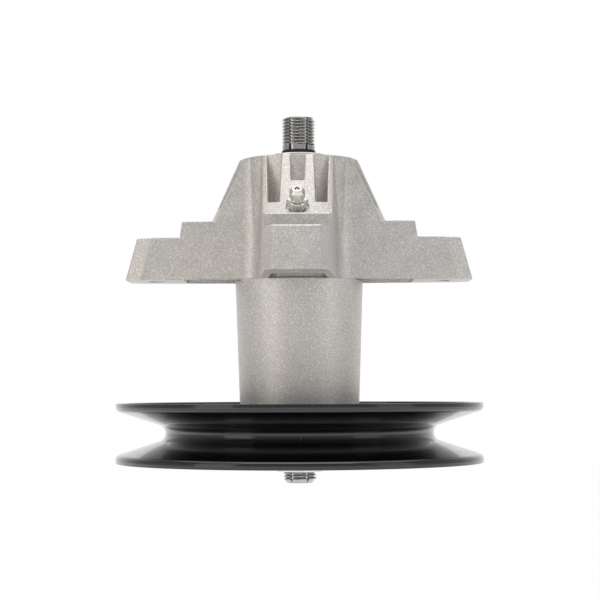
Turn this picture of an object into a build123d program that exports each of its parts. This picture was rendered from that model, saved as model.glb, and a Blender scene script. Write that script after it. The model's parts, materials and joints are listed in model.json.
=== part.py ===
from build123d import *
import os
from math import atan2, cos, degrees, pi, radians, sin, tan

os.makedirs("parts", exist_ok=True)

# Housing casting: heights are above the mounting face, radii are from the shaft's axis
arm_count = 4
pad_top = 18.1
shoulder_top = 24.9
tower_top = 52.2
pad_reach = 74.5
pad_end_lean = 15.3
shoulder_reach = 50.9
shoulder_lean = 8.4
tower_foot_radius = 38.2
tower_top_radius = 26.0
column_radius = 25.8
arm_root_radius = 24.0
arm_root_half = 16.2
arm_tip_half = 12.3
arm_end_flat = 19.8
arm_corner_cut = 6.5
arm_side_draft = 1.5
arm_valley_radius = 8.0
tube_root_radius = 27.7
tube_length = 60.5
tube_draft = 1.95
step_edge_round = 0.8

# Pockets cast into the sloping face of each arm
pocket_pitch = 10.0
pocket_floor_width = 4.9
centre_pocket_floor_width = 5.8
pocket_draft = 2.2
side_pocket_floor = 30.8
centre_pocket_floor = 40.3
pocket_depth = 4.0

# Cored recess under each arm, between the tube and the bolt pad
recess_reach = 49.5
recess_wall = 3.6
recess_depth = 17.5
recess_draft = 2.0

# Deck bolts
bolt_circle = 124.0
bolt_hole = 7.3

# Cuts run this far past the face that they open, and levels match within the slack
cut_margin = 3.0
level_slack = 0.01

# Bearings 17 x 40 x 12
bearing_bore = 17.0
bearing_outside = 40.0
bearing_width = 12.0
bearing_inset = 1.0
inner_land = 24.4
outer_land = 33.2
ball_size = 6.75
running_gap = 0.05
seal_groove_depth = 0.5
seal_thickness = 0.9
seal_inset = 0.3
cavity_bore = 37.0

# Shaft, turned in one piece with its collar, and grooved at both ends
thread_size = 14.28
collar_size = 24.6
collar_height = 3.7
neck_size = 12.0
neck_height = 1.8
neck_undercut = 0.3
blade_stud_length = 14.6
stud_chamfer = 1.0
pulley_end_length = 19.1
pulley_end_chamfer = 1.6
shoulder_backset = 0.5
groove_count = 6
groove_width = 1.0
groove_depth = 1.0
groove_start_angle = 0.0
groove_runout = 1.3

# Small parts on the shaft
seat_ring_size = 14.8
spacer_tube_size = 24.0
pulley_spacer_size = 24.6
pulley_spacer_height = 3.6
slip_gap = 0.05
undercut_gap = 0.2

# Pulley: two pressed halves, back to back
pulley_size = 158.75
sheet = 2.6
groove_root_size = 116.0
root_bend = 3.7
flank_slope = 18.0
lip_bend = 2.2
lip_height = 1.65
drive_key_width = 0.8
drive_key_depth = 0.8

# Hexagon flange nut
nut_across_flats = 20.6
nut_height = 14.2
nut_flange_size = 27.0
nut_flange_edge = 1.2
nut_flange_slope = 28.0
nut_chamfer_size = 20.0
nut_chamfer_angle = 30.0

# Grease fitting, screwed into the sloping face of one arm
fitting_height = 28.7
fitting_tilt = 42.0
fitting_sink = 0.7
fitting_thread_size = 6.35
fitting_thread_length = 6.0
fitting_hex = 7.94
fitting_hex_height = 3.7
fitting_neck_size = 4.6
fitting_head_size = 6.5
fitting_head_height = 3.6
fitting_tip_size = 4.8
fitting_head_slope = 54.5
fitting_length = 10.7
fitting_bore = 2.7
fitting_mouth = 1.8
fitting_mouth_depth = 0.8
fitting_seat_size = 9.4
grease_way = 3.2
check_ball_size = 2.38
check_ball_gap = 0.03
check_travel = 0.8
check_spring_wall = 0.3
check_spring_length = 9.0

# Levels along the shaft, all stacked from the casting's two ends
upper_bearing_top = tower_top - bearing_inset
upper_bearing_base = upper_bearing_top - bearing_width
lower_bearing_base = bearing_inset - tube_length
lower_bearing_top = lower_bearing_base + bearing_width
collar_top = upper_bearing_top + collar_height
neck_top = collar_top + neck_height
blade_end = neck_top + blade_stud_length
pulley_top_web = lower_bearing_base - pulley_spacer_height
pulley_middle = pulley_top_web - sheet
pulley_bottom_web = pulley_middle - sheet
pulley_end = pulley_bottom_web - pulley_end_length

# Radii that follow from the sizes above
bore_radius = bearing_bore / 2
thread_radius = thread_size / 2
pitch_radius = (inner_land + outer_land) / 4
tube_end_radius = tube_root_radius - tube_length * tan(radians(tube_draft))


def save(builder, label):
    builder.part.label = label
    export_step(builder.part, f"parts/{label}.step")


def arm_half(radius):
    """Half the width of an arm at the mounting face, at a radius."""
    share = (radius - arm_root_radius) / (pad_reach - arm_root_radius)
    return arm_root_half + share * (arm_tip_half - arm_root_half)


def slope_radius(height):
    """Radius of the tower's cone at a height."""
    share = (height - shoulder_top) / (tower_top - shoulder_top)
    return tower_foot_radius + share * (tower_top_radius - tower_foot_radius)


def ring(inner, outer, base, top):
    """A plain turned ring about the shaft's axis."""
    with BuildPart() as turned:
        with BuildSketch(Plane.XZ):
            with Locations(((inner + outer) / 2, (base + top) / 2)):
                Rectangle(outer - inner, top - base)
        revolve(axis=Axis.Z)
    return turned


def end_edges(builder, level, reach):
    """Straight edges at a level whose middles lie beyond a reach along the arms."""
    edges = builder.edges().filter_by(GeomType.LINE)
    edges = edges.filter_by_position(Axis.Z, level - level_slack, level + level_slack)
    return edges.filter_by(lambda edge: max(abs(edge.center().X), abs(edge.center().Y)) > reach)


# Plan of the four arms, with round valleys between them
with BuildSketch() as arm_plan:
    with BuildLine():
        Polyline(
            (0, -arm_half(0)),
            (pad_reach, -arm_tip_half),
            (pad_reach, arm_tip_half),
            (0, arm_half(0)),
            close=True,
        )
    make_face()

with BuildSketch() as cross_plan:
    with PolarLocations(0, arm_count):
        add(arm_plan.sketch)
    fillet(cross_plan.vertices().sort_by_distance((0, 0, 0))[:arm_count], arm_valley_radius)

# Side view of a pair of arms, and the cone of the tower
pad_end_top = pad_reach - pad_top * tan(radians(pad_end_lean))
shoulder_end_top = shoulder_reach - (shoulder_top - pad_top) * tan(radians(shoulder_lean))
with BuildSketch() as arm_side:
    with BuildLine():
        Polyline(
            (0, 0),
            (pad_reach, 0),
            (pad_end_top, pad_top),
            (shoulder_reach, pad_top),
            (shoulder_end_top, shoulder_top),
            (0, shoulder_top),
            close=True,
        )
    make_face()
    mirror(about=Plane.YZ)

with BuildPart() as height_form:
    for side_plane in (Plane.XZ, Plane.YZ):
        with BuildSketch(side_plane):
            add(arm_side.sketch)
        extrude(amount=tube_root_radius, both=True)
    with BuildSketch(Plane.XZ):
        with BuildLine():
            Polyline(
                (0, 0),
                (tower_foot_radius, 0),
                (tower_foot_radius, shoulder_top),
                (tower_top_radius, tower_top),
                (0, tower_top),
                close=True,
            )
        make_face()
    revolve(axis=Axis.Z)

# The pads' corners come off at a slant that leans with their end walls
with BuildPart() as corner_cuts:
    cut_back = (pad_reach - arm_corner_cut, arm_half(pad_reach - arm_corner_cut))
    cut_front = (pad_reach, arm_end_flat / 2)
    cut_slope = (cut_back[1] - cut_front[1]) / arm_corner_cut
    cut_start = (cut_back[0] - arm_corner_cut, cut_back[1] + cut_slope * arm_corner_cut)
    cut_end = (cut_front[0] + arm_corner_cut, cut_front[1] - cut_slope * arm_corner_cut)
    with BuildSketch():
        with BuildLine():
            Polyline(cut_start, cut_end, (cut_end[0], cut_start[1]), close=True)
        make_face()
        mirror(about=Plane.XZ)
    end_lean = radians(pad_end_lean)
    cut_length = pad_top / cos(end_lean) + cut_margin
    extrude(amount=cut_length, dir=(-sin(end_lean), 0, cos(end_lean)))

# Three tapering pockets that open up and outwards
with BuildPart() as slope_pockets:
    pocket_back = tower_top_radius - pocket_depth
    pocket_front = tower_foot_radius + 2 * cut_margin
    for offset, floor, width in (
        (-pocket_pitch, side_pocket_floor, pocket_floor_width),
        (0, centre_pocket_floor, centre_pocket_floor_width),
        (pocket_pitch, side_pocket_floor, pocket_floor_width),
    ):
        with BuildSketch(Plane.XY.offset(floor)):
            with Locations(((pocket_back + pocket_front) / 2, offset)):
                Rectangle(pocket_front - pocket_back, width)
        extrude(amount=tower_top - floor + cut_margin, taper=-pocket_draft)

with BuildPart() as arm_recess:
    with BuildSketch():
        with BuildLine():
            Polyline(
                (0, recess_wall - arm_half(0)),
                (recess_reach, recess_wall - arm_half(recess_reach)),
                (recess_reach, arm_half(recess_reach) - recess_wall),
                (0, arm_half(0) - recess_wall),
                close=True,
            )
        make_face()
    extrude(amount=recess_depth, taper=recess_draft)

# Place of the grease fitting: its seat is square to its own axis
fitting_foot = (0, -slope_radius(fitting_height), fitting_height)
fitting_axis = Vector(0, -cos(radians(fitting_tilt)), sin(radians(fitting_tilt)))
fitting_origin = Vector(*fitting_foot) - fitting_axis * fitting_sink
fitting_plane = Plane(origin=fitting_origin, x_dir=(1, 0, 0), z_dir=fitting_axis)

with BuildPart() as housing:
    with BuildSketch():
        add(cross_plan.sketch)
    extrude(amount=tower_top, taper=arm_side_draft)
    add(height_form.part, mode=Mode.INTERSECT)
    with PolarLocations(0, arm_count):
        add(corner_cuts.part, mode=Mode.SUBTRACT)
    step_edges = end_edges(housing, pad_top, (shoulder_reach + pad_end_top) / 2)
    step_edges += end_edges(housing, shoulder_top, (tower_foot_radius + shoulder_end_top) / 2)
    fillet(step_edges, step_edge_round)
    with PolarLocations(0, arm_count):
        add(slope_pockets.part, mode=Mode.SUBTRACT)
        add(arm_recess.part, mode=Mode.SUBTRACT)
    # Column and tube, which carry both bearings
    with BuildSketch(Plane.XZ):
        with BuildLine():
            Polyline(
                (0, -tube_length),
                (tube_end_radius, -tube_length),
                (tube_root_radius, 0),
                (column_radius, 0),
                (column_radius, tower_top),
                (0, tower_top),
                close=True,
            )
        make_face()
    revolve(axis=Axis.Z)
    # Bearing seats, and the grease space between them
    with BuildSketch(Plane.XY.offset(upper_bearing_base)):
        Circle(bearing_outside / 2)
    extrude(amount=bearing_width + bearing_inset, mode=Mode.SUBTRACT)
    with BuildSketch(Plane.XY.offset(lower_bearing_top)):
        Circle(bearing_outside / 2)
    extrude(amount=-bearing_width - bearing_inset, mode=Mode.SUBTRACT)
    with BuildSketch(Plane.XY.offset(lower_bearing_top)):
        Circle(cavity_bore / 2)
    extrude(amount=upper_bearing_base - lower_bearing_top, mode=Mode.SUBTRACT)
    # Bolt holes through the pads
    with BuildSketch():
        with PolarLocations(bolt_circle / 2, arm_count):
            Circle(bolt_hole / 2)
    extrude(amount=pad_top, mode=Mode.SUBTRACT)
    # Seat, tapped hole and passage of the grease fitting
    with BuildSketch(fitting_plane):
        Circle(fitting_seat_size / 2)
    extrude(amount=fitting_seat_size, mode=Mode.SUBTRACT)
    with BuildSketch(fitting_plane):
        Circle(fitting_thread_size / 2)
    extrude(amount=-fitting_thread_length, mode=Mode.SUBTRACT)
    with BuildSketch(fitting_plane):
        Circle(grease_way / 2)
    passage = slope_radius(fitting_height) - cavity_bore / 2 + cut_margin
    extrude(amount=-passage / cos(radians(fitting_tilt)), mode=Mode.SUBTRACT)
save(housing, "housing")


def polar(centre, radius, angle):
    """A point on a circle, with its angle in degrees."""
    return (centre[0] + radius * cos(radians(angle)), centre[1] + radius * sin(radians(angle)))


def make_bearing(name, base, outward):
    """Rings, seal and ball row of one bearing; outward is 1 when its sealed side faces up."""
    top = base + bearing_width
    seal_base = top - seal_inset - seal_thickness if outward > 0 else base + seal_inset
    seal_outside = outer_land / 2 + seal_groove_depth
    blank = ring(outer_land / 2, bearing_outside / 2, base, top)
    with BuildPart() as outer_ring:
        add(blank.part)
        with BuildSketch(Plane.XY.offset(seal_base)):
            Circle(seal_outside)
        extrude(amount=seal_thickness, mode=Mode.SUBTRACT)
    save(outer_ring, f"{name}_outer_ring")
    save(ring(bore_radius, inner_land / 2, base, top), f"{name}_inner_ring")
    seal_inside = inner_land / 2 + running_gap
    save(ring(seal_inside, seal_outside, seal_base, seal_base + seal_thickness), f"{name}_seal")
    row_inside = inner_land / 2 + running_gap
    row_outside = outer_land / 2 - running_gap
    row_base = (base + top - ball_size) / 2
    save(ring(row_inside, row_outside, row_base, row_base + ball_size), f"{name}_ball_row")


make_bearing("upper", upper_bearing_base, 1)
make_bearing("lower", lower_bearing_base, -1)

spacer_tube = ring(bore_radius, spacer_tube_size / 2, lower_bearing_top, upper_bearing_base)
save(spacer_tube, "spacer_tube")
pulley_spacer = ring(bore_radius, pulley_spacer_size / 2, pulley_top_web, lower_bearing_base)
save(pulley_spacer, "pulley_spacer")

# Shaft: turned outline, then grooves along both ends
journal_base = pulley_top_web + shoulder_backset
undercut_radius = seat_ring_size / 2 + undercut_gap
with BuildPart() as shaft:
    with BuildSketch(Plane.XZ):
        with BuildLine():
            Polyline(
                (0, pulley_end),
                (thread_radius - pulley_end_chamfer, pulley_end),
                (thread_radius, pulley_end + pulley_end_chamfer),
                (thread_radius, journal_base),
                (bore_radius, journal_base),
                (bore_radius, upper_bearing_top),
                (collar_size / 2, upper_bearing_top),
                (collar_size / 2, collar_top),
                (undercut_radius, collar_top),
                (undercut_radius, collar_top - neck_undercut),
                (neck_size / 2, collar_top - neck_undercut),
                (neck_size / 2, neck_top),
                (thread_radius, neck_top),
                (thread_radius, blade_end - stud_chamfer),
                (thread_radius - stud_chamfer, blade_end),
                (0, blade_end),
                close=True,
            )
        make_face()
    revolve(axis=Axis.Z)
    for start, end in ((pulley_end, journal_base), (neck_top, blade_end)):
        with BuildSketch(Plane.XY.offset(start)):
            with PolarLocations(thread_radius, groove_count, start_angle=groove_start_angle):
                Rectangle(2 * groove_depth, groove_width)
        extrude(amount=end - start, mode=Mode.SUBTRACT)
save(shaft, "shaft")

seat_ring_base = collar_top - neck_undercut
blade_seat_ring = ring(neck_size / 2 + slip_gap, seat_ring_size / 2, seat_ring_base, neck_top)
save(blade_seat_ring, "blade_seat_ring")

# Upper pulley half: web, root bend, flank and upright lip, with the groove on the outside
pulley_radius = pulley_size / 2
hub_radius = thread_radius + slip_gap
root_centre = (groove_root_size / 2 + root_bend, 0)
flank_start = polar(root_centre, root_bend, 90 + flank_slope)
flank_rise = tan(radians(flank_slope))
lip_start_radius = pulley_radius - lip_bend * (1 - sin(radians(flank_slope)))
lip_start = (lip_start_radius, flank_start[1] + (lip_start_radius - flank_start[0]) * flank_rise)
lip_centre = (pulley_radius - lip_bend, lip_start[1] + lip_bend * cos(radians(flank_slope)))
lip_top = lip_centre[1] + lip_height
inner_bend = root_bend + sheet
inner_flank = polar(root_centre, inner_bend, 90 + flank_slope)
inner_lip = pulley_radius - sheet
inner_corner = (inner_lip, inner_flank[1] + (inner_lip - inner_flank[0]) * flank_rise)
web_angle = 180 - degrees(atan2(sheet, (inner_bend**2 - sheet**2) ** 0.5))
web_edge = polar(root_centre, inner_bend, web_angle)
pulley_side = Plane(origin=(0, 0, pulley_middle), x_dir=(1, 0, 0), z_dir=(0, -1, 0))
with BuildPart() as pulley_upper_half:
    with BuildSketch(pulley_side):
        with BuildLine():
            Line((hub_radius, 0), (groove_root_size / 2, 0))
            ThreePointArc(
                (groove_root_size / 2, 0),
                polar(root_centre, root_bend, 135 + flank_slope / 2),
                flank_start,
            )
            Line(flank_start, lip_start)
            ThreePointArc(
                lip_start,
                polar(lip_centre, lip_bend, (flank_slope - 90) / 2),
                (pulley_radius, lip_centre[1]),
            )
            Polyline(
                (pulley_radius, lip_centre[1]),
                (pulley_radius, lip_top),
                (inner_lip, lip_top),
                inner_corner,
                inner_flank,
                web_edge,
                (hub_radius, sheet),
                (hub_radius, 0),
            )
        make_face()
    revolve(axis=Axis.Z)
    # Keys that drive the pulley from the shaft's grooves
    with BuildSketch(Plane.XY.offset(pulley_middle)):
        key_middle = thread_radius - drive_key_depth / 2 + slip_gap
        with PolarLocations(key_middle, groove_count, start_angle=groove_start_angle):
            Rectangle(drive_key_depth + 2 * slip_gap, drive_key_width)
    extrude(amount=sheet)
save(pulley_upper_half, "pulley_upper_half")

with BuildPart() as pulley_lower_half:
    mirror(pulley_upper_half.part, about=Plane.XY.offset(pulley_middle))
save(pulley_lower_half, "pulley_lower_half")

# Nut: hexagon with a chamfered free end, and a conical flange against the pulley
nut_end = pulley_bottom_web - nut_height
nut_corner = nut_across_flats / 2 / cos(pi / 6)
chamfer_drop = (nut_corner - nut_chamfer_size / 2) * tan(radians(nut_chamfer_angle))
flange_radius = nut_flange_size / 2
flange_drop = nut_flange_edge + (flange_radius - thread_radius) * tan(radians(nut_flange_slope))
with BuildPart() as pulley_nut:
    with BuildSketch(Plane.XY.offset(nut_end)):
        RegularPolygon(nut_across_flats / 2, 6, major_radius=False)
    extrude(amount=nut_height)
    with BuildSketch(Plane.XZ):
        with BuildLine():
            Polyline(
                (0, nut_end),
                (nut_chamfer_size / 2, nut_end),
                (nut_corner, nut_end + chamfer_drop),
                (nut_corner, pulley_bottom_web),
                (0, pulley_bottom_web),
                close=True,
            )
        make_face()
    revolve(axis=Axis.Z, mode=Mode.INTERSECT)
    with BuildSketch(Plane.XZ):
        with BuildLine():
            Polyline(
                (0, pulley_bottom_web),
                (0, pulley_bottom_web - flange_drop),
                (thread_radius, pulley_bottom_web - flange_drop),
                (flange_radius, pulley_bottom_web - nut_flange_edge),
                (flange_radius, pulley_bottom_web),
                close=True,
            )
        make_face()
    revolve(axis=Axis.Z)
    with BuildSketch(Plane.XY.offset(nut_end)):
        Circle(thread_radius + slip_gap)
    extrude(amount=nut_height, mode=Mode.SUBTRACT)
save(pulley_nut, "pulley_nut")

# Grease fitting: hollow body, check ball under its mouth, and the ball's spring
fitting_line = Axis(fitting_origin, fitting_axis)
fitting_side = Plane(
    origin=fitting_origin, x_dir=(1, 0, 0), z_dir=Vector(1, 0, 0).cross(fitting_axis)
)
mouth_base = fitting_length - fitting_mouth_depth
ball_radius = check_ball_size / 2
mouth_radius = fitting_mouth / 2
ball_height = mouth_base - (ball_radius**2 - mouth_radius**2) ** 0.5 - check_ball_gap
spring_top = ball_height - ball_radius - check_travel - slip_gap
spring_base = spring_top - check_spring_length
shank_radius = fitting_thread_size / 2 - slip_gap
shank_base = slip_gap - fitting_thread_length
neck_radius = fitting_neck_size / 2
head_radius = fitting_head_size / 2
head_base = fitting_length - fitting_head_height
head_taper = (head_radius - fitting_tip_size / 2) * tan(radians(fitting_head_slope))
with BuildPart() as grease_fitting:
    with BuildSketch(fitting_plane):
        RegularPolygon(fitting_hex / 2, 6, major_radius=False)
    extrude(amount=fitting_hex_height)
    with BuildSketch(fitting_side):
        with BuildLine():
            Polyline(
                (0, shank_base),
                (shank_radius, shank_base),
                (shank_radius, 0),
                (neck_radius, fitting_hex_height),
                (neck_radius, head_base),
                (head_radius, head_base + head_radius - neck_radius),
                (head_radius, fitting_length - head_taper),
                (fitting_tip_size / 2, fitting_length),
                (0, fitting_length),
                close=True,
            )
        make_face()
    revolve(axis=fitting_line)
    with BuildSketch(fitting_side):
        with BuildLine():
            Polyline(
                (0, shank_base),
                (mouth_radius, shank_base),
                (mouth_radius, spring_base),
                (fitting_bore / 2, spring_base),
                (fitting_bore / 2, mouth_base),
                (mouth_radius, mouth_base),
                (mouth_radius, fitting_length),
                (0, fitting_length),
                close=True,
            )
        make_face()
    revolve(axis=fitting_line, mode=Mode.SUBTRACT)
save(grease_fitting, "grease_fitting")

with BuildPart(fitting_plane.offset(ball_height)) as grease_check_ball:
    Sphere(ball_radius)
save(grease_check_ball, "grease_check_ball")

with BuildPart() as grease_spring:
    with BuildSketch(fitting_side):
        spring_radius = fitting_bore / 2 - slip_gap
        with Locations((spring_radius - check_spring_wall / 2, (spring_base + spring_top) / 2)):
            Rectangle(check_spring_wall, check_spring_length)
    revolve(axis=fitting_line)
save(grease_spring, "grease_spring")
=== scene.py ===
import bmesh
import bpy
import json
from math import asin, atan2, cos, degrees, pi, radians, sin, sqrt, tan
from mathutils import Matrix, Vector


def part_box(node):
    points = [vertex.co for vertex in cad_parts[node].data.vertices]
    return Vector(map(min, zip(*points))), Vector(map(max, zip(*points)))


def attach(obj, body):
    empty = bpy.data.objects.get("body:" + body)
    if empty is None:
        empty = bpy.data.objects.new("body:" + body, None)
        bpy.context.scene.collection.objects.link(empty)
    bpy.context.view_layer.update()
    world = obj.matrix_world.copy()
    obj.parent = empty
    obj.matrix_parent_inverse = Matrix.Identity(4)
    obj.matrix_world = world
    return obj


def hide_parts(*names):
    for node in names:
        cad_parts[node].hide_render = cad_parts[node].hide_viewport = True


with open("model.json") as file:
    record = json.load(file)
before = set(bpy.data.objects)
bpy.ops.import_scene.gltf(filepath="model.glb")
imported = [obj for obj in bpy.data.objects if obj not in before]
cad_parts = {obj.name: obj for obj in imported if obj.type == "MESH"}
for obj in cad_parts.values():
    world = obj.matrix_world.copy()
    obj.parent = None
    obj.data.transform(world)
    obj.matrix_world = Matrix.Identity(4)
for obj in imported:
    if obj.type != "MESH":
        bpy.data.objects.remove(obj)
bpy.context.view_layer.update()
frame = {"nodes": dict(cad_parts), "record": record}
nodes = frame["nodes"]
MM = 0.001

# Camera, as found from the photograph: distances in metres, angles in degrees, the rest in pixels
PHOTO_PIXELS = 600
FOCAL_PIXELS = 1700
CAMERA_DISTANCE = 0.739
CAMERA_HEIGHT = -0.048
HORIZON_ROW = 391.5
CAMERA_ROLL = -0.22
CAMERA_TURN = 0.9
AXIS_COLUMN = 299.2

# The camera's own sizes: the sensor in millimetres, and the nearest distance it sees in metres
SENSOR_WIDTH = 36
CLIP_START = 0.01

# The thread's flat crest, and its depth, as shares of its pitch
THREAD_CREST = 0.18
THREAD_DEPTH_SHARE = 0.613

# Sizes of the turned pieces in millimetres, and their slopes in degrees. They are those of the
# solids, but the grease fitting's hexagon and head follow the photograph.
THREAD_RADIUS = 7.14
THREAD_PITCH = 25.4 / 18
THREAD_DEPTH = THREAD_DEPTH_SHARE * THREAD_PITCH
THREAD_STEP = THREAD_PITCH / 12
THREAD_RUNOUT = 2.2
GROOVE_COUNT = 6
GROOVE_WIDTH = 1.0
GROOVE_DEPTH = 1.0
GROOVE_START = 0.0
JOURNAL_RADIUS = 8.5
SHOULDER_BACKSET = 0.5
COLLAR_HEIGHT = 3.7
NECK_RADIUS = 6.0
NECK_HEIGHT = 1.8
NECK_UNDERCUT = 0.3
UNDERCUT_RADIUS = 7.6
STUD_CHAMFER = 0.6
PULLEY_END_CHAMFER = 1.6
GROOVE_ROOT_RADIUS = 58.0
ROOT_BEND = 3.7
FLANK_SLOPE = 18.0
LIP_BEND = 2.2
SHEET = 2.6
HUB_RADIUS = 7.19
NUT_ACROSS_FLATS = 20.6
NUT_FLANGE_EDGE = 1.2
NUT_FLANGE_SLOPE = 28.0
NUT_CHAMFER_SIZE = 20.0
NUT_CHAMFER_ANGLE = 30.0
FITTING_LENGTH = 10.7
FITTING_SHANK = 5.95
FITTING_THREAD_SIZE = 6.35
FITTING_HEX = 7.94
FITTING_HEX_BASE = 2.0
FITTING_HEX_TOP = 4.9
FITTING_NECK_SIZE = 4.6
FITTING_HEAD = 4.4
FITTING_HEAD_SIZE = 6.5
FITTING_HEAD_SLOPE = 54.5
FITTING_TIP_SIZE = 4.8
FITTING_BORE = 2.7
FITTING_MOUTH = 1.8
FITTING_MOUTH_DEPTH = 0.8
FITTING_SEAT_WALL = 1.0
FITTING_HEX_BREAK = 0.45
FITTING_FILLET = 0.5
FITTING_BREAK = 0.2
EDGE_BREAK = 0.3
BORE_GAP = 0.05

# How finely the turned pieces are spun, and how finely their bends and edges are drawn
SHAFT_STEPS = 240
PULLEY_STEPS = 256
NUT_STEPS = 144
FITTING_STEPS = 96
BEND_STEPS = 10
RIM_EDGE_STEPS = 3
NUT_CHAMFER_STEPS = 4
MERGE_DISTANCE = 0.000001

# Edges steeper than this many degrees stay sharp
SHAFT_SHARP = 42
PULLEY_SHARP = 50
NUT_SHARP = 30
FITTING_SHARP = 30

# The range that most of a noise factor lies in
NOISE_LOW = 0.3
NOISE_HIGH = 0.7

# Skins: scales in features per metre, distances in metres
CAST_ROUND = 0.0008
CAST_GRAIN = 0.25
GRAIN_SCALE = 1500
GRAIN_DISTANCE = 0.00025
MOTTLE_SCALE = 160
DENT_STRENGTH = 0.12
DENT_DISTANCE = 0.0006
STAIN_SCALE = 28
CAST_ROUND_SAMPLES = 6
TURNED_ROUND = 0.0003
RING_PITCH = 9000.0
RING_DEPTH = 0.05
RING_DISTANCE = 0.0001
SMUDGE_SCALE = 220
# Reach and samples of the painted shade that darkens thread roots, grooves and corners
SHADE_REACH = 0.0012
SHADE_SAMPLES = 8
TURNED_ROUND_SAMPLES = 4
BRIGHT_GAIN = 1.5
PEEL_SCALE = 420
PEEL_STRENGTH = 0.04
PEEL_DISTANCE = 0.0004
SPECK_SCALE = 900
RUBBER_SCALE = 1800
RUBBER_STRENGTH = 0.2
RUBBER_DISTANCE = 0.0001
RUBBER_ROUGHNESS = 0.6


def mm_box(node):
    """Lowest and highest corner of a solid, in millimetres."""
    low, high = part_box(node)
    return low / MM, high / MM


# Node helpers for the materials
def put(tree, kind, inputs=None, **settings):
    """Adds a node, sets its properties, and fills its inputs with values or links."""
    node = tree.nodes.new(kind)
    for name, value in settings.items():
        setattr(node, name, value)
    for name, value in (inputs or {}).items():
        if isinstance(value, bpy.types.NodeSocket):
            tree.links.new(value, node.inputs[name])
        else:
            node.inputs[name].default_value = value
    return node


def ramp(tree, factor, stops):
    """A colour ramp whose stops are (position, grey or colour)."""
    node = put(tree, "ShaderNodeValToRGB", {"Fac": factor})
    elements = node.color_ramp.elements
    while len(elements) < len(stops):
        elements.new(0.5)
    for element, (position, colour) in zip(elements, stops):
        element.position = position
        grey = (colour,) * 3 if isinstance(colour, (int, float)) else colour
        element.color = (*grey, 1)
    return node.outputs["Color"]


def noise(tree, place, scale, detail=2, roughness=0.5):
    """A noise factor at a place; the scale is in features per metre."""
    values = {"Vector": place, "Scale": scale, "Detail": detail, "Roughness": roughness}
    return put(tree, "ShaderNodeTexNoise", values).outputs["Fac"]


def spread(tree, factor, low, high):
    """A noise factor spread over a range."""
    values = {"Value": factor, "From Min": NOISE_LOW, "From Max": NOISE_HIGH, "To Min": low,
              "To Max": high}
    return put(tree, "ShaderNodeMapRange", values).outputs["Result"]


def multiply(tree, first, second):
    """The product of two colours."""
    node = put(tree, "ShaderNodeMix", {"Factor": 1.0, "A": first, "B": second}, data_type="RGBA",
               blend_type="MULTIPLY")
    return node.outputs["Result"]


def new_group(name, inputs, outputs):
    """An empty shader node group: float inputs with defaults, and outputs of a kind."""
    tree = bpy.data.node_groups.new(name, "ShaderNodeTree")
    for label, default in inputs:
        socket = tree.interface.new_socket(label, in_out="INPUT", socket_type="NodeSocketFloat")
        socket.default_value = default
    for label, kind in outputs:
        tree.interface.new_socket(label, in_out="OUTPUT", socket_type="NodeSocket" + kind)
    return tree, put(tree, "NodeGroupInput"), put(tree, "NodeGroupOutput")


SKIN_OUTPUTS = [("Tone", "Color"), ("Roughness", "Float"), ("Normal", "Vector")]


def cast_skin_group():
    """Blasted casting: fine grain, soft mottling and dents, over rounded edges."""
    tree, given, result = new_group(
        "Cast skin",
        [
            ("Edge round", CAST_ROUND),
            ("Grain", CAST_GRAIN),
        ],
        SKIN_OUTPUTS,
    )
    place = put(tree, "ShaderNodeTexCoord").outputs["Object"]
    grain = noise(tree, place, GRAIN_SCALE, detail=3, roughness=0.7)
    mottle = noise(tree, place, MOTTLE_SCALE, detail=4, roughness=0.65)
    stain = noise(tree, place, STAIN_SCALE, detail=3, roughness=0.6)
    fine = ramp(tree, grain, [(0.34, 0.85), (0.52, 0.96), (0.64, 1.3)])
    broad = ramp(tree, mottle, [(NOISE_LOW, 0.95), (NOISE_HIGH, 1.04)])
    warm = ramp(tree, stain, [(0.38, (1.0, 0.985, 0.955)), (0.62, (0.985, 0.99, 1.0))])
    tinted = multiply(tree, multiply(tree, fine, broad), warm)
    edge = put(tree, "ShaderNodeBevel", {"Radius": given.outputs["Edge round"]},
               samples=CAST_ROUND_SAMPLES)
    dents = put(tree, "ShaderNodeBump", {"Height": mottle, "Strength": DENT_STRENGTH,
                                         "Distance": DENT_DISTANCE,
                                         "Normal": edge.outputs["Normal"]})
    bumps = put(tree, "ShaderNodeBump", {"Height": grain, "Distance": GRAIN_DISTANCE,
                                         "Strength": given.outputs["Grain"],
                                         "Normal": dents.outputs["Normal"]})
    tree.links.new(tinted, result.inputs["Tone"])
    tree.links.new(spread(tree, mottle, 0.38, 0.48), result.inputs["Roughness"])
    tree.links.new(bumps.outputs["Normal"], result.inputs["Normal"])
    return tree


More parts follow.
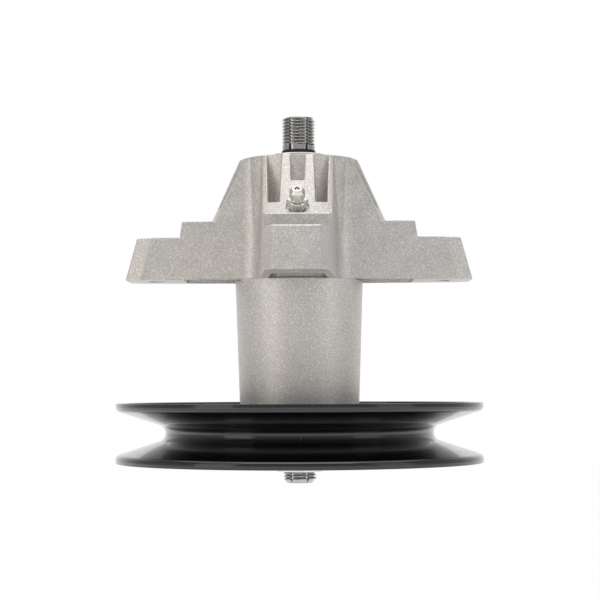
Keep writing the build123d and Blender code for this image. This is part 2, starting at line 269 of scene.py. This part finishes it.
def turned_skin_group():
    """Turned or plated steel: rings about Z, smudges, painted shade in thread roots and corners,
    brighter beyond a radius.
    """
    tree, given, result = new_group(
        "Turned skin",
        [
            ("Edge round", TURNED_ROUND),
            ("Ring pitch", RING_PITCH),
            ("Ring depth", RING_DEPTH),
            ("Roughness", 0.25),
            ("Bright from", 1.0),
        ],
        SKIN_OUTPUTS,
    )
    place = put(tree, "ShaderNodeTexCoord").outputs["Object"]
    flat = put(tree, "ShaderNodeSeparateXYZ", {"Vector": place})
    squares = put(tree, "ShaderNodeVectorMath", {0: place, 1: place}, operation="MULTIPLY")
    parts = put(tree, "ShaderNodeSeparateXYZ", {"Vector": squares.outputs["Vector"]})
    around = put(tree, "ShaderNodeMath", {0: parts.outputs["X"], 1: parts.outputs["Y"]},
                 operation="ADD")
    radius = put(tree, "ShaderNodeMath", {0: around.outputs[0]}, operation="SQRT")
    line = put(tree, "ShaderNodeCombineXYZ", {"X": radius.outputs[0], "Z": flat.outputs["Z"]})
    sized = put(tree, "ShaderNodeVectorMath", {0: line.outputs["Vector"]}, operation="SCALE")
    tree.links.new(given.outputs["Ring pitch"], sized.inputs["Scale"])
    rings = noise(tree, sized.outputs["Vector"], 1.0)
    smudge = noise(tree, place, SMUDGE_SCALE, detail=4)
    # Ambient occlusion darkens the colour in thread roots, grooves and inner corners: painted shade
    shelter = put(tree, "ShaderNodeAmbientOcclusion", {"Distance": SHADE_REACH},
                  samples=SHADE_SAMPLES)
    painted_shade = ramp(tree, shelter.outputs["AO"], [(0.25, 0.12), (0.75, 1.0)])
    clean = ramp(tree, smudge, [(0.3, 0.88), (0.6, 1.0)])
    edge = put(tree, "ShaderNodeBevel", {"Radius": given.outputs["Edge round"]},
               samples=TURNED_ROUND_SAMPLES)
    bumps = put(tree, "ShaderNodeBump", {"Height": rings, "Distance": RING_DISTANCE,
                                         "Strength": given.outputs["Ring depth"],
                                         "Normal": edge.outputs["Normal"]})
    shift = spread(tree, smudge, -0.05, 0.08)
    rough = put(tree, "ShaderNodeMath", {0: given.outputs["Roughness"], 1: shift}, operation="ADD",
                use_clamp=True)
    beyond = put(tree, "ShaderNodeMath", {0: radius.outputs[0], 1: given.outputs["Bright from"]},
                 operation="GREATER_THAN")
    ground = ramp(tree, beyond.outputs[0], [(0.0, 1.0), (1.0, BRIGHT_GAIN)])
    tone = multiply(tree, multiply(tree, clean, painted_shade), ground)
    tree.links.new(tone, result.inputs["Tone"])
    tree.links.new(rough.outputs[0], result.inputs["Roughness"])
    tree.links.new(bumps.outputs["Normal"], result.inputs["Normal"])
    return tree


CAST_SKIN = cast_skin_group()
TURNED_SKIN = turned_skin_group()


def new_material(name, metallic, **fixed):
    """A material with a Principled shader, and fixed values on its own sockets."""
    material = bpy.data.materials.new(name)
    material.use_nodes = True
    tree = material.node_tree
    shader = tree.nodes["Principled BSDF"]
    shader.inputs["Metallic"].default_value = metallic
    for label, value in fixed.items():
        shader.inputs[label.replace("_", " ")].default_value = value
    return material, tree, shader


def skin_material(name, skin, colour, metallic, settings):
    """A material whose tone, roughness and normal come from one of the skin groups."""
    material, tree, shader = new_material(name, metallic)
    group = put(tree, "ShaderNodeGroup", node_tree=skin)
    for label, value in settings.items():
        group.inputs[label].default_value = value
    tree.links.new(multiply(tree, (*colour, 1), group.outputs["Tone"]), shader.inputs["Base Color"])
    tree.links.new(group.outputs["Roughness"], shader.inputs["Roughness"])
    tree.links.new(group.outputs["Normal"], shader.inputs["Normal"])
    return material


def enamel_material():
    """Black gloss enamel over pressed steel: slight orange peel and specks of dust."""
    material, tree, shader = new_material("Black enamel", 0.0, Coat_Weight=0.7, Coat_Roughness=0.05)
    place = put(tree, "ShaderNodeTexCoord").outputs["Object"]
    peel = noise(tree, place, PEEL_SCALE)
    specks = ramp(tree, noise(tree, place, SPECK_SCALE, detail=1), [(0.74, 0.002), (0.78, 0.06)])
    tree.links.new(specks, shader.inputs["Base Color"])
    tree.links.new(spread(tree, peel, 0.16, 0.26), shader.inputs["Roughness"])
    bumps = put(tree, "ShaderNodeBump", {"Height": peel, "Strength": PEEL_STRENGTH,
                                         "Distance": PEEL_DISTANCE})
    tree.links.new(bumps.outputs["Normal"], shader.inputs["Normal"])
    return material


def rubber_material(name, grey):
    """Matt moulded rubber with a fine skin."""
    material, tree, shader = new_material(name, 0.0)
    place = put(tree, "ShaderNodeTexCoord").outputs["Object"]
    skin = noise(tree, place, RUBBER_SCALE, detail=3)
    tone = ramp(tree, skin, [(NOISE_LOW, grey * 0.7), (NOISE_HIGH, grey * 1.3)])
    tree.links.new(tone, shader.inputs["Base Color"])
    shader.inputs["Roughness"].default_value = RUBBER_ROUGHNESS
    bumps = put(tree, "ShaderNodeBump", {"Height": skin, "Strength": RUBBER_STRENGTH,
                                         "Distance": RUBBER_DISTANCE})
    tree.links.new(bumps.outputs["Normal"], shader.inputs["Normal"])
    return material


CAST = skin_material("Cast aluminium", CAST_SKIN, (0.7, 0.672, 0.645), 0.85, {})
STEEL = skin_material("Turned steel", TURNED_SKIN, (0.55, 0.54, 0.52), 1.0,
                      {"Roughness": 0.15, "Ring depth": 0.02, "Edge round": 0.0001,
                       "Bright from": 0.009})
PLATED = skin_material("Zinc plating", TURNED_SKIN, (0.82, 0.82, 0.83), 1.0,
                       {"Roughness": 0.2, "Ring depth": 0.02})
NICKEL = skin_material("Nickel plating", TURNED_SKIN, (0.78, 0.76, 0.71), 1.0,
                       {"Roughness": 0.22, "Ring depth": 0.0})
ENAMEL = enamel_material()
RUBBER = rubber_material("Black rubber", 0.012)
SEAL = rubber_material("Seal rubber", 0.03)


def dress(obj, material):
    """Gives a whole object one material."""
    obj.data.materials.clear()
    obj.data.materials.append(material)
    obj.data.polygons.foreach_set("material_index", [0] * len(obj.data.polygons))


def finish_piece(work, name, body, slot, material, *replaced, sharp):
    """Turns a finished bmesh into a smooth, dressed piece that rides on its body."""
    bmesh.ops.recalc_face_normals(work, faces=work.faces)
    mesh = bpy.data.meshes.new(name)
    work.to_mesh(mesh)
    work.free()
    mesh.polygons.foreach_set("use_smooth", [True] * len(mesh.polygons))
    mesh.set_sharp_from_angle(angle=radians(sharp))
    piece = bpy.data.objects.new(name, mesh)
    bpy.context.scene.collection.objects.link(piece)
    dress(piece, material)
    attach(piece, body)
    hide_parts(*replaced)


def spin_outline(points, steps, closed=False):
    """Spins an outline of (radius, height) points in millimetres about Z."""
    work = bmesh.new()
    corners = [work.verts.new((radius * MM, 0, height * MM)) for radius, height in points]
    edges = [work.edges.new(pair) for pair in zip(corners, corners[1:])]
    if closed:
        edges.append(work.edges.new((corners[-1], corners[0])))
    bmesh.ops.spin(work, geom=corners + edges, cent=(0, 0, 0), axis=(0, 0, 1), angle=2 * pi,
                   steps=steps, use_merge=True)
    bmesh.ops.remove_doubles(work, verts=work.verts, dist=MERGE_DISTANCE)
    return work


def press_in(work, low, high, limit):
    """Moves points between two heights inwards to a radius that limit gives for (height, angle)."""
    for vert in work.verts:
        height = vert.co.z / MM
        reach = vert.co.xy.length / MM
        if low <= height <= high and reach > 0:
            allowed = limit(height, atan2(vert.co.y, vert.co.x))
            if allowed < reach:
                vert.co.xy *= allowed / reach


def thread_rows(low, high):
    """Outline points from low to high at the thread's crest, about THREAD_STEP apart."""
    count = round((high - low) / THREAD_STEP)
    return [(THREAD_RADIUS, low + (high - low) * i / count) for i in range(count + 1)]


def arc(centre, radius, start, end, count):
    """Points on an arc, with its angles in degrees."""
    angles = [radians(start + (end - start) * i / count) for i in range(count + 1)]
    return [(centre[0] + radius * cos(angle), centre[1] + radius * sin(angle)) for angle in angles]


def hexagon(across_flats):
    """Reach of a hexagon with a corner on X, as a function of the height and angle."""
    return lambda height, angle: across_flats / 2 / cos(angle % (pi / 3) - pi / 6)


def make_shaft():
    """The whole shaft, with its threads and lengthwise grooves cut at both ends."""
    low, high = mm_box("shaft")
    collar = high.x
    collar_base = mm_box("upper_inner_ring")[1].z
    collar_top = collar_base + COLLAR_HEIGHT
    neck_top = collar_top + NECK_HEIGHT
    journal_base = mm_box("pulley_spacer")[0].z + SHOULDER_BACKSET
    plain_base = mm_box("pulley_nut")[1].z
    stud_base = neck_top + THREAD_RUNOUT

    outline = [(0, low.z), (THREAD_RADIUS - PULLEY_END_CHAMFER, low.z)]
    outline += thread_rows(low.z + PULLEY_END_CHAMFER, plain_base)
    outline += [(THREAD_RADIUS, journal_base), (JOURNAL_RADIUS, journal_base)]
    outline += [(JOURNAL_RADIUS, collar_base)]
    outline += [(collar - EDGE_BREAK, collar_base), (collar, collar_base + EDGE_BREAK)]
    outline += [(collar, collar_top - EDGE_BREAK), (collar - EDGE_BREAK, collar_top)]
    outline += [(UNDERCUT_RADIUS, collar_top), (UNDERCUT_RADIUS, collar_top - NECK_UNDERCUT)]
    outline += [(NECK_RADIUS, collar_top - NECK_UNDERCUT), (NECK_RADIUS, neck_top)]
    outline += [(THREAD_RADIUS - EDGE_BREAK, neck_top), (THREAD_RADIUS, neck_top + EDGE_BREAK)]
    outline += thread_rows(stud_base, high.z - STUD_CHAMFER)
    outline += [(THREAD_RADIUS - STUD_CHAMFER, high.z), (0, high.z)]
    work = spin_outline(outline, SHAFT_STEPS)

    def thread(height, angle):
        turn = (height / THREAD_PITCH - angle / (2 * pi)) % 1
        flank = (abs(turn - 0.5) * 2 - THREAD_CREST) / (1 - 2 * THREAD_CREST)
        return THREAD_RADIUS - THREAD_DEPTH * (1 - cos(pi * min(max(flank, 0), 1))) / 2

    def groove(height, angle):
        spacing = 2 * pi / GROOVE_COUNT
        off = (angle - radians(GROOVE_START) + spacing / 2) % spacing - spacing / 2
        inside = abs(THREAD_RADIUS * sin(off)) < GROOVE_WIDTH / 2
        return THREAD_RADIUS - GROOVE_DEPTH if inside else THREAD_RADIUS

    for start, end, cut in (
        (low.z, plain_base - EDGE_BREAK, thread),
        (stud_base + EDGE_BREAK, high.z, thread),
        (low.z, journal_base - EDGE_BREAK, groove),
        (neck_top, high.z, groove),
    ):
        press_in(work, start, end, cut)
    finish_piece(work, "shaft_threaded", "shaft", "turned_steel", STEEL, "shaft", sharp=SHAFT_SHARP)


def make_pulley_half(node, middle, side):
    """One pressed half of the pulley; side is 1 for the upper one."""
    low, high = mm_box(node)
    rim = high.x
    lip_top = max(abs(low.z - middle), abs(high.z - middle))
    rise = tan(radians(FLANK_SLOPE))
    root = (GROOVE_ROOT_RADIUS + ROOT_BEND, 0)
    inner = ROOT_BEND + SHEET
    flank = arc(root, ROOT_BEND, 90 + FLANK_SLOPE, 180, 1)[0]
    inner_flank = arc(root, inner, 90 + FLANK_SLOPE, 180, 1)[0]
    bend_start = rim - LIP_BEND * (1 - sin(radians(FLANK_SLOPE)))
    bend_base = flank[1] + (bend_start - flank[0]) * rise
    bend = (rim - LIP_BEND, bend_base + LIP_BEND * cos(radians(FLANK_SLOPE)))
    web_angle = 180 - degrees(asin(SHEET / inner))
    outline = [(HUB_RADIUS, 0)]
    outline += arc(root, ROOT_BEND, 180, 90 + FLANK_SLOPE, BEND_STEPS)
    outline += [(flank[0] + EDGE_BREAK, flank[1] + EDGE_BREAK * rise)]
    outline += [(bend_start - EDGE_BREAK, bend_base - EDGE_BREAK * rise)]
    outline += arc(bend, LIP_BEND, FLANK_SLOPE - 90, 0, BEND_STEPS)
    edge_height = lip_top - EDGE_BREAK
    outline += arc((rim - EDGE_BREAK, edge_height), EDGE_BREAK, 0, 90, RIM_EDGE_STEPS)
    outline += arc((rim - SHEET + EDGE_BREAK, edge_height), EDGE_BREAK, 90, 180, RIM_EDGE_STEPS)
    outline += [(rim - SHEET, inner_flank[1] + (rim - SHEET - inner_flank[0]) * rise)]
    outline += arc(root, inner, 90 + FLANK_SLOPE, web_angle, BEND_STEPS)
    outline += [(HUB_RADIUS, SHEET)]
    placed = [(radius, middle + side * height) for radius, height in outline]
    work = spin_outline(placed, PULLEY_STEPS, closed=True)
    finish_piece(work, node + "_pressed", "shaft", "black_enamel", ENAMEL, node,
                 sharp=PULLEY_SHARP)


def make_nut():
    """Hexagon flange nut with a chamfered free end."""
    low, high = mm_box("pulley_nut")
    flange = high.x
    corner = NUT_ACROSS_FLATS / sqrt(3)
    cone_top = high.z - NUT_FLANGE_EDGE
    cone_base = cone_top - (flange - corner) * tan(radians(NUT_FLANGE_SLOPE))
    bore = THREAD_RADIUS + BORE_GAP
    end_reach = NUT_CHAMFER_SIZE / 2
    end_chamfer = (corner - end_reach) * tan(radians(NUT_CHAMFER_ANGLE))
    outline = [(bore, low.z + THREAD_DEPTH), (bore + THREAD_DEPTH, low.z), (end_reach, low.z)]
    shares = [(step + 1) / NUT_CHAMFER_STEPS for step in range(NUT_CHAMFER_STEPS)]
    outline += [(end_reach + (corner - end_reach) * share, low.z + end_chamfer * share)
                for share in shares]
    outline += [(corner, cone_base - 3 * EDGE_BREAK), (corner, cone_base)]
    outline += [(flange - EDGE_BREAK, cone_top), (flange, cone_top + EDGE_BREAK)]
    outline += [(flange, high.z - EDGE_BREAK), (flange - EDGE_BREAK, high.z), (bore, high.z)]
    work = spin_outline(outline, NUT_STEPS, closed=True)
    press_in(work, low.z, cone_base - EDGE_BREAK, hexagon(NUT_ACROSS_FLATS))
    finish_piece(work, "pulley_nut_forged", "shaft", "zinc_plated", PLATED, "pulley_nut",
                 sharp=NUT_SHARP)


def make_fitting():
    """Grease fitting: hexagon, neck and head, with an open mouth over its check ball."""
    mount = next(m for m in frame["record"]["mounts"] if m["name"] == "grease_nipple")
    tip = FITTING_LENGTH
    head_base = tip - FITTING_HEAD
    neck = FITTING_NECK_SIZE / 2
    head = FITTING_HEAD_SIZE / 2
    end = FITTING_TIP_SIZE / 2
    bore = FITTING_BORE / 2
    mouth = FITTING_MOUTH / 2
    corner = FITTING_HEX / sqrt(3)
    shank = FITTING_THREAD_SIZE / 2 - BORE_GAP
    cone_base = tip - (head - end) * tan(radians(FITTING_HEAD_SLOPE)) - EDGE_BREAK
    mouth_base = tip - FITTING_MOUTH_DEPTH
    spring_seat = -FITTING_SHANK + FITTING_SEAT_WALL
    outline = [(mouth, -FITTING_SHANK), (shank, -FITTING_SHANK), (shank, FITTING_HEX_BASE)]
    outline += [(corner - FITTING_HEX_BREAK, FITTING_HEX_BASE)]
    outline += [(corner, FITTING_HEX_BASE + EDGE_BREAK)]
    outline += [(corner, FITTING_HEX_TOP - FITTING_HEX_BREAK)]
    outline += [(corner - 2 * FITTING_HEX_BREAK, FITTING_HEX_TOP)]
    outline += [(neck + FITTING_FILLET, FITTING_HEX_TOP)]
    outline += [(neck, FITTING_HEX_TOP + FITTING_FILLET), (neck, head_base)]
    outline += [(head - FITTING_BREAK, head_base), (head, head_base + FITTING_BREAK)]
    outline += [(head, cone_base)]
    outline += [(end + FITTING_BREAK, tip - 2 * FITTING_BREAK), (end - FITTING_BREAK, tip)]
    outline += [(mouth + FITTING_BREAK, tip), (mouth, tip - FITTING_BREAK), (mouth, mouth_base)]
    outline += [(bore, mouth_base), (bore, spring_seat), (mouth, spring_seat)]
    work = spin_outline(outline, FITTING_STEPS, closed=True)
    press_in(work, FITTING_HEX_BASE, FITTING_HEX_TOP, hexagon(FITTING_HEX))
    axis = Vector(mount["axis"])
    turn = Matrix.Rotation(axis.angle(Vector((0, 0, 1))), 4, "X")
    place = Matrix.Translation(Vector(mount["pos_m"]) - axis * tip * MM) @ turn
    bmesh.ops.transform(work, matrix=place, verts=work.verts)
    finish_piece(work, "grease_fitting_turned", "housing", "plated_fitting", NICKEL,
                 "grease_fitting", sharp=FITTING_SHARP)


make_shaft()
PULLEY_MIDDLE = mm_box("pulley_upper_half")[0].z
make_pulley_half("pulley_upper_half", PULLEY_MIDDLE, 1)
make_pulley_half("pulley_lower_half", PULLEY_MIDDLE, -1)
make_nut()
make_fitting()

for name, material in (
    ("housing", CAST),
    ("grease_check_ball", STEEL),
    ("grease_spring", STEEL),
    ("spacer_tube", STEEL),
    ("pulley_spacer", STEEL),
    ("blade_seat_ring", RUBBER),
):
    dress(nodes[name], material)
for side in ("upper", "lower"):
    for part in ("outer_ring", "inner_ring", "ball_row"):
        dress(nodes[f"{side}_{part}"], STEEL)
    dress(nodes[f"{side}_seal"], SEAL)


# The studio: floor height and size in metres, and how much of the floor shows as plain white
WHITE = (1, 1, 1, 1)
FLOOR_HEIGHT = -0.2
FLOOR_SIZE = 6
FLOOR_COLOUR = (0.9, 0.9, 0.9, 1)
FLOOR_WHITENESS = 0.97

# World light in front, from straight below at 0 to straight above at 1, and where the back begins
FRONT_LEVELS = [
    (0.472, 1.0), (0.482, 0.43), (0.68, 0.43), (0.8, 0.26), (0.85, 0.25), (0.89, 1.3), (1.0, 1.2),
]
BACK_STARTS = 0.4
BACK_FULL = 0.95

# Softboxes: name, place and size in metres, power in watts, colour
SOFTBOXES = [
    ("Top softbox", (0.0, -0.55, 1.2), (1.4, 0.7), 2.7, (1, 1, 1)),
    ("Low front softbox", (0.0, -1.1, -0.13), (2.2, 0.12), 0.3, (1, 1, 1)),
    ("Left softbox", (-1.0, -0.8, 0.3), (0.6, 1.1), 1.6, (1.0, 0.94, 0.9)),
    ("Right softbox", (1.1, -0.65, 0.3), (0.6, 1.1), 0.9, (0.92, 1.0, 0.98)),
]


def make_floor():
    """A plain floor below the part, white to the camera and in reflections."""
    bpy.ops.mesh.primitive_plane_add(size=FLOOR_SIZE, location=(0, 0, FLOOR_HEIGHT))
    floor = bpy.context.active_object
    floor.name = "floor"
    material, tree, shader = new_material("Pale floor", 0.0, Roughness=0.9)
    shader.inputs["Base Color"].default_value = FLOOR_COLOUR
    material.cycles.emission_sampling = "NONE"
    seen = put(tree, "ShaderNodeLightPath")
    white = put(tree, "ShaderNodeEmission")
    rays = {0: seen.outputs["Is Camera Ray"], 1: seen.outputs["Is Glossy Ray"]}
    shows = put(tree, "ShaderNodeMath", rays, operation="MAXIMUM")
    pale = put(tree, "ShaderNodeMath", {0: shows.outputs[0], 1: FLOOR_WHITENESS},
               operation="MULTIPLY")
    shown = put(tree, "ShaderNodeMixShader", {"Fac": pale.outputs[0]})
    tree.links.new(shader.outputs["BSDF"], shown.inputs[1])
    tree.links.new(white.outputs["Emission"], shown.inputs[2])
    tree.links.new(shown.outputs["Shader"], tree.nodes["Material Output"].inputs["Surface"])
    dress(floor, material)


def make_light(name, place, size, power, colour):
    """A rectangular softbox that faces the origin."""
    lamp = bpy.data.lights.new(name, "AREA")
    lamp.shape = "RECTANGLE"
    lamp.size, lamp.size_y = size
    lamp.energy = power
    lamp.color = colour
    obj = bpy.data.objects.new(name, lamp)
    bpy.context.scene.collection.objects.link(obj)
    obj.location = place
    obj.rotation_euler = (-obj.location).to_track_quat("-Z", "Y").to_euler()


def make_world():
    """White studio: bright behind, below and high above, darker in front."""
    world = bpy.data.worlds.new("Studio")
    bpy.context.scene.world = world
    world.use_nodes = True
    tree = world.node_tree
    tree.nodes.clear()
    ray = put(tree, "ShaderNodeTexCoord").outputs["Generated"]
    way = put(tree, "ShaderNodeSeparateXYZ", {"Vector": ray})
    height = put(tree, "ShaderNodeMapRange", {"Value": way.outputs["Z"], "From Min": -1,
                                              "From Max": 1})
    front = ramp(tree, height.outputs["Result"], FRONT_LEVELS)
    depth = put(tree, "ShaderNodeMapRange", {"Value": way.outputs["Y"], "From Min": BACK_STARTS,
                                             "From Max": BACK_FULL})
    blend = put(tree, "ShaderNodeMix", {"Factor": depth.outputs["Result"], "A": front, "B": WHITE},
                data_type="RGBA")
    seen = put(tree, "ShaderNodeLightPath").outputs["Is Camera Ray"]
    shown = put(tree, "ShaderNodeMix", {"Factor": seen, "A": blend.outputs["Result"], "B": WHITE},
                data_type="RGBA")
    back = put(tree, "ShaderNodeBackground", {"Color": shown.outputs["Result"], "Strength": 1.0})
    put(tree, "ShaderNodeOutputWorld", {"Surface": back.outputs["Background"]})


def make_camera():
    """The photograph's camera: in front of the part, turned and rolled a little."""
    camera = bpy.data.cameras.new("Camera")
    obj = bpy.data.objects.new("Camera", camera)
    bpy.context.scene.collection.objects.link(obj)
    camera.sensor_width = SENSOR_WIDTH
    camera.lens = camera.sensor_width * FOCAL_PIXELS / PHOTO_PIXELS
    camera.clip_start = CLIP_START
    tilt = atan2(HORIZON_ROW - PHOTO_PIXELS / 2, FOCAL_PIXELS)
    swing = atan2(AXIS_COLUMN - PHOTO_PIXELS / 2, FOCAL_PIXELS)
    aim = Matrix.Rotation(pi / 2 + tilt, 4, "X") @ Matrix.Rotation(radians(CAMERA_ROLL), 4, "Z")
    turn = Matrix.Rotation(swing, 4, "Z") @ aim
    place = Matrix.Translation((0, -CAMERA_DISTANCE, CAMERA_HEIGHT)) @ turn
    obj.matrix_world = Matrix.Rotation(radians(CAMERA_TURN), 4, "Z") @ place
    bpy.context.scene.camera = obj


make_floor()
for softbox in SOFTBOXES:
    make_light(*softbox)
make_world()
make_camera()
bpy.context.scene.view_settings.view_transform = "Standard"
